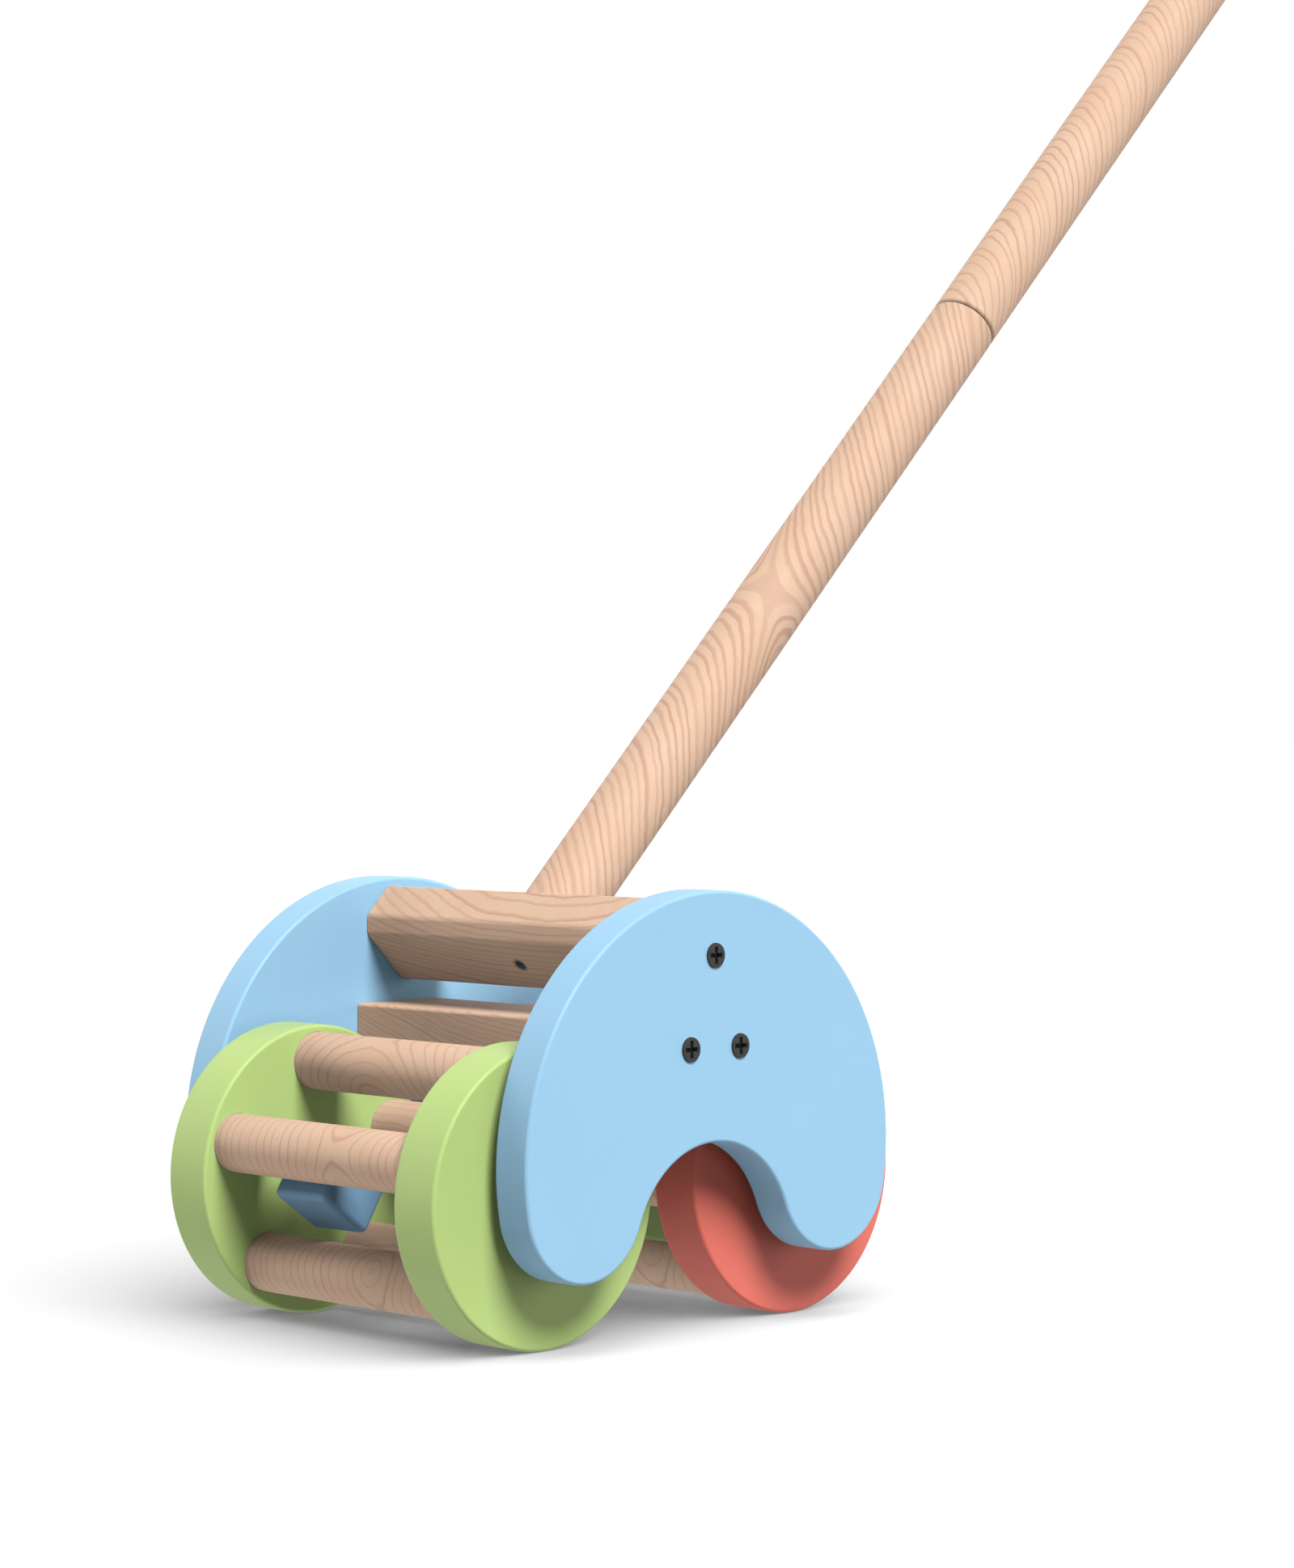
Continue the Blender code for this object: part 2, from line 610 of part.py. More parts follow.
def stub_axle(name, x, side, middle, finish):
    """A short axle fixed in a side, on which a disc turns."""
    low = DISC_OUTER_Y - AXLE_SEAT_IN_DISC + TOUCH_GAP
    high = SIDE_INNER_Y + AXLE_SEAT_IN_SIDE - TOUCH_GAP
    bm = bmesh.new()
    profile = rod_profile(AXLE_RADIUS, low, high, AXLE_END_ROUND, AXLE_END_ROUND, 1)
    add_turned(bm, profile, AXLE_FLAT_COUNT, along_y(x, 0, AXLE_HEIGHT, side))
    piece(name, bm, finish, middle)


def washer(name, x, side, middle, finish):
    """A flat washer on a stub axle, which keeps the disc off the side."""
    inner = AXLE_RADIUS + TOUCH_GAP
    low = DISC_OUTER_Y + TOUCH_GAP
    high = low + WASHER_THICKNESS
    bm = bmesh.new()
    profile = [(inner, low), (WASHER_RADIUS, low), (WASHER_RADIUS, high), (inner, high)]
    add_turned(bm, profile, AXLE_FLAT_COUNT, along_y(x, 0, AXLE_HEIGHT, side), True, True)
    piece(name, bm, finish, middle)


def build():
    """Build the whole toy."""
    for obj in list(bpy.data.objects):
        bpy.data.objects.remove(obj, do_unlink=True)
    finishes = make_finishes()
    wood = finishes["bare_wood"]
    middle = empty("toy_middle", (MIDDLE_X, 0, 0))
    for word, side in (("left", 1), ("right", -1)):
        side_panel("side_panel_" + word, side, middle, finishes["blue_paint"])
        for place, (x, z) in screw_places().items():
            side_screw(f"{place}_screw_{word}", x, z, side, middle, finishes["black_steel"])
    turn = Matrix.Rotation(-HANDLE_LEAN, 4, "Y")
    lean = empty("handle_axis", (0, 0, BLOCK_HEIGHT), middle, turn)
    handle_block(lean, wood)
    cross_bar(middle, wood)
    handle(lean, wood, finishes["grey_steel"])
    green_and_blue = ("green_paint", "cube_blue_paint")
    coral_and_green = ("coral_paint", "cube_green_paint")
    drum("front", AXLE_X, FRONT_PHASE, FRONT_REST, green_and_blue, middle, finishes)
    drum("back", -AXLE_X, BACK_PHASE, BACK_REST, coral_and_green, middle, finishes)


build()
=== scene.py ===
"""Looks of the toddler push toy: painted sides, drums and cubes, ringed wood and small steel."""

import json
import math

import bmesh
import bpy
from mathutils import Matrix, Vector


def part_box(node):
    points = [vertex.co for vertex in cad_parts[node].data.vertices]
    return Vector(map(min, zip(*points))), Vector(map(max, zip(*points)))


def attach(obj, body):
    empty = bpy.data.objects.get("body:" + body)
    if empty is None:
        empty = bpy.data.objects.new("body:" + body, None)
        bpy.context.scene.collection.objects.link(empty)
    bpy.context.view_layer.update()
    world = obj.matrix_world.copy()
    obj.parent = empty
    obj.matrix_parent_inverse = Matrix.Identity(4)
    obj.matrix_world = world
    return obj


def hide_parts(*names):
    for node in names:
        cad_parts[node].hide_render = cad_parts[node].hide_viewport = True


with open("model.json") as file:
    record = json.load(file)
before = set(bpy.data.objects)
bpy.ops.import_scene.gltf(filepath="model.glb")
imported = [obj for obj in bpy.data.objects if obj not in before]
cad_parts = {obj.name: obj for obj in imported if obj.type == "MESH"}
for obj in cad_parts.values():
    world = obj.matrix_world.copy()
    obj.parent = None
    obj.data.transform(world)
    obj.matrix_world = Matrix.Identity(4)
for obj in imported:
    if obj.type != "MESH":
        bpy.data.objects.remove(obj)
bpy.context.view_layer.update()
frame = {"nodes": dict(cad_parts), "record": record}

MM = 0.001

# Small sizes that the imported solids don't give directly
SNUG_GAP = 0.08 * MM
CUT_OVERRUN = 2.0 * MM
PANEL_EDGE_ROUND = 1.0 * MM
NOTCH_OVER_AXLE = 12.0 * MM
DISC_EDGE_ROUND = 1.0 * MM
DOWEL_END_ROUND = 0.8 * MM
DOWEL_RADIUS = 8.0 * MM
AXLE_RADIUS = 5.0 * MM
AXLE_END_ROUND = 0.6 * MM
WASHER_RADIUS = 9.0 * MM
WASHER_EDGE_ROUND = 0.4 * MM
CUBE_EDGE = 20.0 * MM
CUBE_EDGE_ROUND = 2.0 * MM
BLOCK_THICKNESS = 16.0 * MM
BLOCK_WIDTH = 27.0 * MM
BLOCK_CHAMFER = 4.0 * MM
WOOD_EDGE_ROUND = 1.0 * MM
HANDLE_LEAN = math.radians(45)
HANDLE_TIP_ROUND = 5.0 * MM
HANDLE_JOINT_ROUND = 1.2 * MM
HANDLE_RADIUS = 10.7 * MM
TENON_RADIUS = 7.5 * MM
TENON_LENGTH = 9.0 * MM
JOINT_GAP = 0.3 * MM

# Countersunk screws and the socket bolt
SCREW_HEAD_RADIUS = 3.3 * MM
SCREW_RIM = 0.4 * MM
SCREW_CONE_LENGTH = 1.9 * MM
SCREW_SHANK_RADIUS = 1.6 * MM
SCREW_LENGTH = 30.0 * MM
SCREW_POINT_LENGTH = 3.0 * MM
SCREW_PROUD = 0.5 * MM
CROSS_REACH = 2.4 * MM
CROSS_ARM_WIDTH = 1.25 * MM
CROSS_DEPTH = 1.9 * MM
CROSS_TIP_SHARE = 0.85
BOLT_HEAD_RADIUS = 2.4 * MM
BOLT_HEAD_LENGTH = 4.0 * MM
BOLT_SHANK_RADIUS = 1.5 * MM
BOLT_SOCKET_RADIUS = 1.95 * MM
BOLT_SOCKET_DEPTH = 2.2 * MM

# How each loose cube lies: turn about its drum's axis, then yaw
CUBE_REST = {
    "front_cube": (math.radians(34), math.radians(4.6)),
    "back_cube": (math.radians(-9), math.radians(0)),
}

# The sides with the way that each faces along Y, the drums, and a drum's dowels
SIDES = (("left", 1), ("right", -1))
ENDS = ("front", "back")
DOWEL_NUMBERS = range(1, 6)

# Smoothness of the meshes
DISC_STEPS = 128
HANDLE_STEPS = 96
DOWEL_STEPS = 64
SMALL_STEPS = 48
CROWN_STEPS = 120
LEG_STEPS = 48
NOTCH_STEPS = 48
ROUND_STEPS = 4
CUBE_ROUND_STEPS = 5
TIP_ROUND_STEPS = 12
ROUND_PROFILE = 0.5
SOCKET_SIDES = 6
SMOOTH_ANGLE = math.radians(35)
FLAT_FACE_WEIGHT = 80

# Growth rings: noise scales per metre, and shares of a ring's width or of the rings' wander
MIDDLE_OF_NOISE = 0.5
SWING_SCALE = 28.0
QUIVER_SCALE = 210.0
QUIVER_SHARE = 0.24
UNEVEN_RING_SCALE = 0.42
LINE_RISE = 0.3
LINE_FALL_START = 0.92
FAINTEST_LINE = 0.55
WOOD_TONE_SCALE = 45.0
FIBRE_SCALE_ACROSS = 1500.0
FIBRE_SCALE_ALONG = 110.0
ROUGH_NOISE = 0.6

# Thin film on paint, steel and nylon: noise scales per metre
DRIFT_SCALE = 30.0
GLOSS_SCALE = 90.0
COARSE_PEEL_SHARE = 0.2
PAINT_PEEL_SCALE = 1400.0
STEEL_PEEL_SCALE = 5000.0
NYLON_PEEL_SCALE = 2500.0

# Each finish: the noise levels between which it changes, and its tints, roughness and relief
WOOD_TONE_WINDOW = (0.3, 0.7)
FLECK_WINDOW = (0.52, 0.8)
FLECK_STRENGTH = 0.35
FIBRE_WINDOW = (0.3, 0.8)
FIBRE_HEIGHT_SHARE = 0.5
WOOD_ROUGHNESS = (0.6, 0.72)
WOOD_RELIEF = 0.012 * MM
WOOD_GLOSS = 0.2
GLOSS_WINDOW = (0.3, 0.7)
PAINT_DEEP_TINT = (0.975, 0.98, 0.985, 1.0)
PAINT_DRIFT_WINDOW = (0.35, 0.75)
PAINT_ROUGHNESS = (0.38, 0.46)
PAINT_RELIEF = 0.012 * MM
PAINT_GLOSS = 0.3
STEEL_WORN_TINT = (1.5, 1.5, 1.5, 1.0)
STEEL_WORN_WINDOW = (0.45, 0.75)
STEEL_PEEL_WINDOW = (0.7, 1.3)
STEEL_ROUGHNESS_SPREAD = 0.15
STEEL_RELIEF = 0.006 * MM
NYLON_DULL_TINT = (0.9, 0.9, 0.88, 1.0)
NYLON_DRIFT_WINDOW = (0.4, 0.7)
NYLON_ROUGHNESS = (0.4, 0.5)
NYLON_RELIEF = 0.01 * MM

# Each piece's wood, in its own frame: a middle point, the way and the distance from it to the
# tree's heart, the grain, the rings' spacing and wander, and where in a ring its line starts;
# lengths are in millimetres
WOOD_PIECES = {
    "handle_lower": ((0, 0, 134.5), (-0.491, 0.631, 0.6), 1, (0.368, -0.473, 0.8), 2.4, 4.0, 0.42),
    "handle_upper": (
        (0, 0, 400), (-0.73, 0.239, 0.64), 160, (0.608, -0.199, 0.768), 2.7, 5.0, 0.55
    ),
    "handle_block": ((0, 10, 0), (0.885, 0, 0.465), 230, (0.465, 0.05, -0.885), 1.85, 2.4, 0.55),
    "cross_bar": ((0, 25, 0), (0.45, 0, 0.9), 240, (0.9, 0.05, -0.45), 1.25, 3.0, 0.6),
    "axle": ((0, 0, 0), (0, 1, 0), 30, (0.1, 0.3, 1.0), 2.2, 3.0, 0.6),
    "dowel_1": ((0, 0, -10), (0, 1, 0), 11.5, (1, 0.15, 0.1), 3.3, 5.0, 0.66),
    "dowel_2": ((0, 0, 0), (-0.4, -1, 0), 27, (0.1, 0.2, 1), 2.2, 5.0, 0.66),
    "dowel_3": ((0, 0, 0), (-0.4, 1, 0), 30, (0.1, 0.2, 1), 2.2, 5.0, 0.66),
    "dowel_4": ((0, 0, 13), (0, 0, 1), 0, (1, -0.5, 0.1), 3.1, 5.0, 0.66),
    "dowel_5": ((0, 0, 10.5), (0.1, 0, 1), 0, (0.15, 1, -0.15), 3.1, 5.0, 0.66),
}

# Camera, as fitted to the photograph of 1600 by 1939 pixels
PHOTO_WIDTH = 1600
PHOTO_HEIGHT = 1939
FOCAL_PIXELS = 4711.418
VIEW_CENTRE_PIXELS = (650, 700)
CAMERA_FROM_MIDDLE = Vector((747.256, 776.429, 164.57)) * MM
CAMERA_YAW = math.radians(226.242)
CAMERA_PITCH = math.radians(2.353)
SENSOR = 36
NEAREST_SEEN = 0.01

# Studio light; walls and floor change their glow over these steps of a ray's direction
BACK_WALL_GLOW = 2.28
FRONT_WALL_GLOW = 0.15
TOWARDS_CAMERA = (1, 1, 0)
WALL_TURN = 0.15
WALL_TOP = 0.5
WALL_TOP_FADE = 0.08
FLOOR_GLOW = 0.68
FLOOR_GLOW_NEAR = 0.1
FLOOR_NEAR_WINDOW = (0.2, 0.7)
KEY_LEVEL = 3.72
KEY_DIRECTION = Vector((0.16, 0.62, 0.77))
KEY_SOFTNESS = math.radians(26)
FLOOR_LAMP_LEVEL = 4.15
FLOOR_LAMP_SOFTNESS = math.radians(90)
FLOOR_SEEN = 0.86
SOFT_BOUNCE = (0.34, 0.34, 0.34, 1.0)
FLOOR_SIZE = 60.0
FLOOR_DROP = 0.1 * MM

record = frame["record"]
bodies = record["behaviour"]["bodies"]
body_of = {node: body for body, members in bodies.items() for node in members}


def middle_of(node):
    """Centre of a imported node's box."""
    low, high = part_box(node)
    return (low + high) / 2


def half_width(node):
    """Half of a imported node's size across the toy."""
    low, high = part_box(node)
    return (high.y - low.y) / 2


def reach_along_y(node):
    """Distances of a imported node's nearer and further end from the toy's middle plane."""
    low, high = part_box(node)
    return sorted((abs(low.y), abs(high.y)))


upper_screw = middle_of("upper_screw_left")
MIDDLE_X = upper_screw.x
BLOCK_HEIGHT = upper_screw.z
LEAN_FRAME = Matrix.Translation((MIDDLE_X, 0, BLOCK_HEIGHT)) @ Matrix.Rotation(-HANDLE_LEAN, 4, "Y")


class Nodes:
    """A node tree with one short call for each kind of node that the finishes use."""

    def __init__(self, tree):
        self.tree = tree

    def add(self, kind, **settings):
        node = self.tree.nodes.new(kind)
        for name, value in settings.items():
            setattr(node, name, value)
        return node

    def feed(self, socket, value):
        if isinstance(value, bpy.types.NodeSocket):
            self.tree.links.new(value, socket)
        else:
            socket.default_value = value

    def math(self, operation, *values):
        node = self.add("ShaderNodeMath", operation=operation)
        for socket, value in zip(node.inputs, values):
            self.feed(socket, value)
        return node.outputs[0]

    def vector(self, operation, *values, scale=None):
        node = self.add("ShaderNodeVectorMath", operation=operation)
        for socket, value in zip(node.inputs, values):
            self.feed(socket, value)
        if scale is not None:
            self.feed(node.inputs["Scale"], scale)
        return node.outputs["Value" if operation in ("DOT_PRODUCT", "LENGTH") else "Vector"]

    def noise(self, place, scale, detail=2.0, roughness=0.5):
        node = self.add("ShaderNodeTexNoise")
        self.feed(node.inputs["Vector"], place)
        self.feed(node.inputs["Scale"], scale)
        node.inputs["Detail"].default_value = detail
        node.inputs["Roughness"].default_value = roughness
        return node.outputs[0]

    def noise_along(self, value, scale):
        node = self.add("ShaderNodeTexNoise", noise_dimensions="1D")
        self.feed(node.inputs["W"], value)
        node.inputs["Scale"].default_value = scale
        node.inputs["Detail"].default_value = 1.0
        return node.outputs[0]

    def chance(self, value):
        node = self.add("ShaderNodeTexWhiteNoise", noise_dimensions="1D")
        self.feed(node.inputs["W"], value)
        return node.outputs[0]

    def ease(self, value, start, end, low=0.0, high=1.0):
        node = self.add("ShaderNodeMapRange", interpolation_type="SMOOTHSTEP")
        self.feed(node.inputs["Value"], value)
        self.feed(node.inputs["From Min"], start)
        self.feed(node.inputs["From Max"], end)
        self.feed(node.inputs["To Min"], low)
        self.feed(node.inputs["To Max"], high)
        return node.outputs[0]

    def blend(self, share, first, second, kind="MIX"):
        node = self.add("ShaderNodeMix", data_type="RGBA", blend_type=kind)
        self.feed(node.inputs[0], share)
        self.feed(node.inputs[6], first)
        self.feed(node.inputs[7], second)
        return node.outputs[2]

    def bump(self, height, distance):
        node = self.add("ShaderNodeBump")
        node.inputs["Strength"].default_value = 1.0
        node.inputs["Distance"].default_value = distance
        self.feed(node.inputs["Height"], height)
        return node.outputs["Normal"]

    def group(self, tree, **values):
        node = self.add("ShaderNodeGroup", node_tree=tree)
        for name, value in values.items():
            self.feed(node.inputs[name.replace("_", " ")], value)
        return node.outputs


def new_group(name, inputs, outputs):
    """Start a shader group; an input has a name, kind and default, an output a name and kind."""
    tree = bpy.data.node_groups.new(name, "ShaderNodeTree")
    for socket_name, kind, default in inputs:
        socket = tree.interface.new_socket(socket_name, in_out="INPUT", socket_type=kind)
        socket.default_value = default
    for socket_name, kind in outputs:
        tree.interface.new_socket(socket_name, in_out="OUTPUT", socket_type=kind)
    nodes = Nodes(tree)
    start = nodes.add("NodeGroupInput")
    end = nodes.add("NodeGroupOutput")
    return tree, nodes, start.outputs, end.inputs


def growth_rings_group():
    """Rings about a pith line: dark late wood, a tone that drifts, and fine fibres."""
    vector, number = "NodeSocketVector", "NodeSocketFloat"
    tree, nodes, given, made = new_group(
        "growth_rings",
        [
            ("Place", vector, (0, 0, 0)),
            ("Pith", vector, (0, 0, 0)),
            ("Lean", vector, (0, 0, 1)),
            ("Spacing", number, 3.0 * MM),
            ("Wander", number, 3.0 * MM),
            ("Line Start", number, 0.6),
        ],
        [("Line", number), ("Tone", number), ("Fibre", number)],
    )
    offset = nodes.vector("SUBTRACT", given["Place"], given["Pith"])
    along = nodes.vector("DOT_PRODUCT", offset, given["Lean"])
    run = nodes.vector("SCALE", given["Lean"], scale=along)
    across = nodes.vector("SUBTRACT", offset, run)
    radius = nodes.vector("LENGTH", across)

    slow = nodes.math("SUBTRACT", nodes.noise(offset, SWING_SCALE, detail=1.0), MIDDLE_OF_NOISE)
    quick = nodes.math("SUBTRACT", nodes.noise(offset, QUIVER_SCALE), MIDDLE_OF_NOISE)
    swing = nodes.math("MULTIPLY", slow, given["Wander"])
    quiver = nodes.math("MULTIPLY", quick, nodes.math("MULTIPLY", given["Wander"], QUIVER_SHARE))
    bent = nodes.math("ADD", nodes.math("ADD", radius, swing), quiver)
    count = nodes.math("DIVIDE", bent, given["Spacing"])
    count = nodes.math("ADD", count, nodes.noise_along(count, UNEVEN_RING_SCALE))

    share = nodes.math("FRACT", count)
    rise_end = nodes.math("ADD", given["Line Start"], LINE_RISE)
    rise = nodes.ease(share, given["Line Start"], rise_end)
    fall = nodes.ease(share, LINE_FALL_START, 1.0, 1.0, 0.0)
    luck = nodes.chance(nodes.math("FLOOR", count))
    strength = nodes.ease(luck, 0.0, 1.0, FAINTEST_LINE, 1.0)
    line = nodes.math("MULTIPLY", nodes.math("MULTIPLY", rise, fall), strength)
    nodes.feed(made["Line"], line)
    nodes.feed(made["Tone"], nodes.noise(offset, WOOD_TONE_SCALE, 3.0, ROUGH_NOISE))

    thin = nodes.vector("SCALE", across, scale=FIBRE_SCALE_ACROSS)
    drawn = nodes.vector("SCALE", run, scale=FIBRE_SCALE_ALONG)
    fibre_place = nodes.vector("ADD", thin, drawn)
    nodes.feed(made["Fibre"], nodes.noise(fibre_place, 1.0, roughness=ROUGH_NOISE))
    return tree


def paint_film_group():
    """The film on paint, steel or nylon: slow tone drift, fine height and uneven gloss."""
    vector, number = "NodeSocketVector", "NodeSocketFloat"
    tree, nodes, given, made = new_group(
        "paint_film",
        [("Place", vector, (0, 0, 0)), ("Peel Scale", number, PAINT_PEEL_SCALE)],
        [("Drift", number), ("Height", number), ("Gloss", number)],
    )
    place, peel_scale = given["Place"], given["Peel Scale"]
    nodes.feed(made["Drift"], nodes.noise(place, DRIFT_SCALE, 3.0, ROUGH_NOISE))
    fine = nodes.noise(place, peel_scale, roughness=ROUGH_NOISE)
    coarse = nodes.noise(place, nodes.math("MULTIPLY", peel_scale, COARSE_PEEL_SHARE))
    nodes.feed(made["Height"], nodes.math("ADD", fine, coarse))
    nodes.feed(made["Gloss"], nodes.noise(place, GLOSS_SCALE))
    return tree


def linear(channel):
    """Turn one 0 to 255 sRGB channel into linear light."""
    c = channel / 255
    if c <= 0.04045:
        return c / 12.92
    return ((c + 0.055) / 1.055) ** 2.4


def colour(red, green, blue):
    """A linear colour from 0 to 255 sRGB channels."""
    return (linear(red), linear(green), linear(blue), 1.0)


def new_finish(name):
    """A material with its shader and the surface's own coordinates."""
    material = bpy.data.materials.new(name)
    material.use_nodes = True
    nodes = Nodes(material.node_tree)
    shader = material.node_tree.nodes["Principled BSDF"]
    place = nodes.add("ShaderNodeTexCoord").outputs["Object"]
    return material, nodes, shader.inputs, place


def lay_colour(nodes, shader, surface):
    """Lay a base colour, and keep the light that it throws on other pieces faint and neutral."""
    path = nodes.add("ShaderNodeLightPath").outputs
    nodes.feed(shader["Base Color"], nodes.blend(path["Is Diffuse Ray"], surface, SOFT_BOUNCE))


def paint(name, base):
    """Satin paint over wood in one colour, with drift, peel and uneven gloss."""
    material, nodes, shader, place = new_finish(name)
    film = nodes.group(PAINT_FILM, Place=place)
    deep = nodes.blend(1.0, base, PAINT_DEEP_TINT, "MULTIPLY")
    drift = nodes.ease(film["Drift"], *PAINT_DRIFT_WINDOW)
    lay_colour(nodes, shader, nodes.blend(drift, base, deep))
    nodes.feed(shader["Roughness"], nodes.ease(film["Gloss"], *GLOSS_WINDOW, *PAINT_ROUGHNESS))
    nodes.feed(shader["Normal"], nodes.bump(film["Height"], PAINT_RELIEF))
    shader["Specular IOR Level"].default_value = PAINT_GLOSS
    return material


def bare_wood(name, middle, heart, reach, grain, spacing, wander, line_start):
    """Pale sealed wood with the growth rings that a row of WOOD_PIECES describes."""
    material, nodes, shader, place = new_finish(name)
    towards = Vector(heart).normalized()
    along = Vector(grain)
    along -= towards * along.dot(towards)
    rings = nodes.group(
        GROWTH_RINGS,
        Place=place,
        Pith=(Vector(middle) + towards * reach) * MM,
        Lean=along.normalized(),
        Spacing=spacing * MM,
        Wander=wander * MM,
        Line_Start=line_start,
    )
    pale = nodes.blend(nodes.ease(rings["Tone"], *WOOD_TONE_WINDOW), WOOD_PALE, WOOD_WARM)
    fleck = nodes.ease(rings["Fibre"], *FLECK_WINDOW, 0.0, FLECK_STRENGTH)
    flecked = nodes.blend(fleck, pale, WOOD_FLECK)
    lay_colour(nodes, shader, nodes.blend(rings["Line"], flecked, WOOD_LINE))
    nodes.feed(shader["Roughness"], nodes.ease(rings["Fibre"], *FIBRE_WINDOW, *WOOD_ROUGHNESS))
    fibre_height = nodes.math("MULTIPLY", rings["Fibre"], FIBRE_HEIGHT_SHARE)
    height = nodes.math("SUBTRACT", fibre_height, rings["Line"])
    nodes.feed(shader["Normal"], nodes.bump(height, WOOD_RELIEF))
    shader["Specular IOR Level"].default_value = WOOD_GLOSS
    return material


def steel(name, base, metallic, rough):
    """Fastener steel with a faintly grainy surface."""
    material, nodes, shader, place = new_finish(name)
    film = nodes.group(PAINT_FILM, Place=place, Peel_Scale=STEEL_PEEL_SCALE)
    worn = nodes.blend(1.0, base, STEEL_WORN_TINT, "MULTIPLY")
    wear = nodes.ease(film["Gloss"], *STEEL_WORN_WINDOW)
    lay_colour(nodes, shader, nodes.blend(wear, base, worn))
    roughest = rough + STEEL_ROUGHNESS_SPREAD
    roughness = nodes.ease(film["Height"], *STEEL_PEEL_WINDOW, rough, roughest)
    nodes.feed(shader["Roughness"], roughness)
    nodes.feed(shader["Normal"], nodes.bump(film["Height"], STEEL_RELIEF))
    shader["Metallic"].default_value = metallic
    return material


def nylon(name, base):
    """Moulded nylon with a soft satin skin."""
    material, nodes, shader, place = new_finish(name)
    film = nodes.group(PAINT_FILM, Place=place, Peel_Scale=NYLON_PEEL_SCALE)
    dull = nodes.blend(1.0, base, NYLON_DULL_TINT, "MULTIPLY")
    drift = nodes.ease(film["Drift"], *NYLON_DRIFT_WINDOW)
    lay_colour(nodes, shader, nodes.blend(drift, base, dull))
    nodes.feed(shader["Roughness"], nodes.ease(film["Gloss"], *GLOSS_WINDOW, *NYLON_ROUGHNESS))
    nodes.feed(shader["Normal"], nodes.bump(film["Height"], NYLON_RELIEF))
    return material


PAINT_FILM = paint_film_group()
GROWTH_RINGS = growth_rings_group()
WOOD_PALE = colour(231, 197, 170)
WOOD_WARM = colour(228, 191, 162)
WOOD_FLECK = colour(214, 172, 142)
WOOD_LINE = colour(209, 166, 144)
BLUE_PAINT = paint("panel_blue", colour(162, 211, 242))
GREEN_PAINT = paint("disc_green", colour(194, 221, 136))
CORAL_PAINT = paint("disc_coral", colour(240, 122, 106))
CUBE_BLUE_PAINT = paint("cube_blue", colour(125, 165, 196))
CUBE_GREEN_PAINT = paint("cube_green", colour(138, 160, 92))
BLACK_STEEL = steel("black_oxide_steel", colour(46, 45, 45), 0.2, 0.6)
GREY_STEEL = steel("zinc_steel", colour(150, 152, 154), 0.9, 0.35)
NYLON = nylon("pale_nylon", colour(226, 226, 218))
WOODS = {piece: bare_wood(f"wood_{piece}", *values) for piece, values in WOOD_PIECES.items()}


def new_mesh(name, bm):
    """Turn a bmesh into a mesh whose faces point outwards."""
    bmesh.ops.recalc_face_normals(bm, faces=bm.faces)
    mesh = bpy.data.meshes.new(name)
    bm.to_mesh(mesh)
    bm.free()
    return mesh


def smooth(mesh):
    """Shade a mesh smooth up to its sharp edges."""
    mesh.shade_smooth()
    mesh.set_sharp_from_angle(angle=SMOOTH_ANGLE)


def finished(node, bm, material, matrix=Matrix.Identity(4)):
    """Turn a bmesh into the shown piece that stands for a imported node."""
    mesh = new_mesh(node, bm)
    smooth(mesh)
    mesh.materials.append(material)
    obj = bpy.data.objects.new(node + "_finished", mesh)
    obj.matrix_world = matrix
    bpy.context.scene.collection.objects.link(obj)
    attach(obj, body_of[node])
    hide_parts(node)
    return obj


def cut(obj, *cutters):
    """Cut closed bmeshes, given in the object's own frame, out of it and keep the result."""
    tools = []
    for bm in cutters:
        tool = bpy.data.objects.new("cutter", new_mesh("cutter", bm))
        tool.matrix_world = obj.matrix_world
        bpy.context.scene.collection.objects.link(tool)
        modifier = obj.modifiers.new("cut", "BOOLEAN")
        modifier.operation = "DIFFERENCE"
        modifier.solver = "EXACT"
        modifier.object = tool
        tools.append(tool)
    bpy.context.view_layer.update()
    shown = obj.evaluated_get(bpy.context.evaluated_depsgraph_get())
    result = bpy.data.meshes.new_from_object(shown)
    obj.modifiers.clear()
    obj.data = result
    for tool in tools:
        bpy.data.objects.remove(tool)
    smooth(result)


def flatten_shading(obj):
    """Let the large flat faces set the normals beside rounded edges."""
    modifier = obj.modifiers.new("even_normals", "WEIGHTED_NORMAL")
    modifier.keep_sharp = True
    modifier.weight = FLAT_FACE_WEIGHT


def corner(radius, height, side, size, steps=ROUND_STEPS):
    """Profile points of a rounded outer corner; side is -1 for a low end and 1 for a high one."""
    points = []
    for step in range(steps + 1):
        turn = math.radians(90) * step / steps
        out = size * (1 - math.sin(turn))
        along = size * (1 - math.cos(turn))
        points.append((radius - out, height - side * along))
    return points if side < 0 else points[::-1]


def eased_wall(radius, low, high, size):
    """Outer part of a half profile, with both its corners rounded."""
    return [*corner(radius, low, -1, size), *corner(radius, high, 1, size)]


def rod(radius, low, high, end_round):
    """Half profile of a rod with rounded ends."""
    return [(0, low), *eased_wall(radius, low, high, end_round), (0, high)]


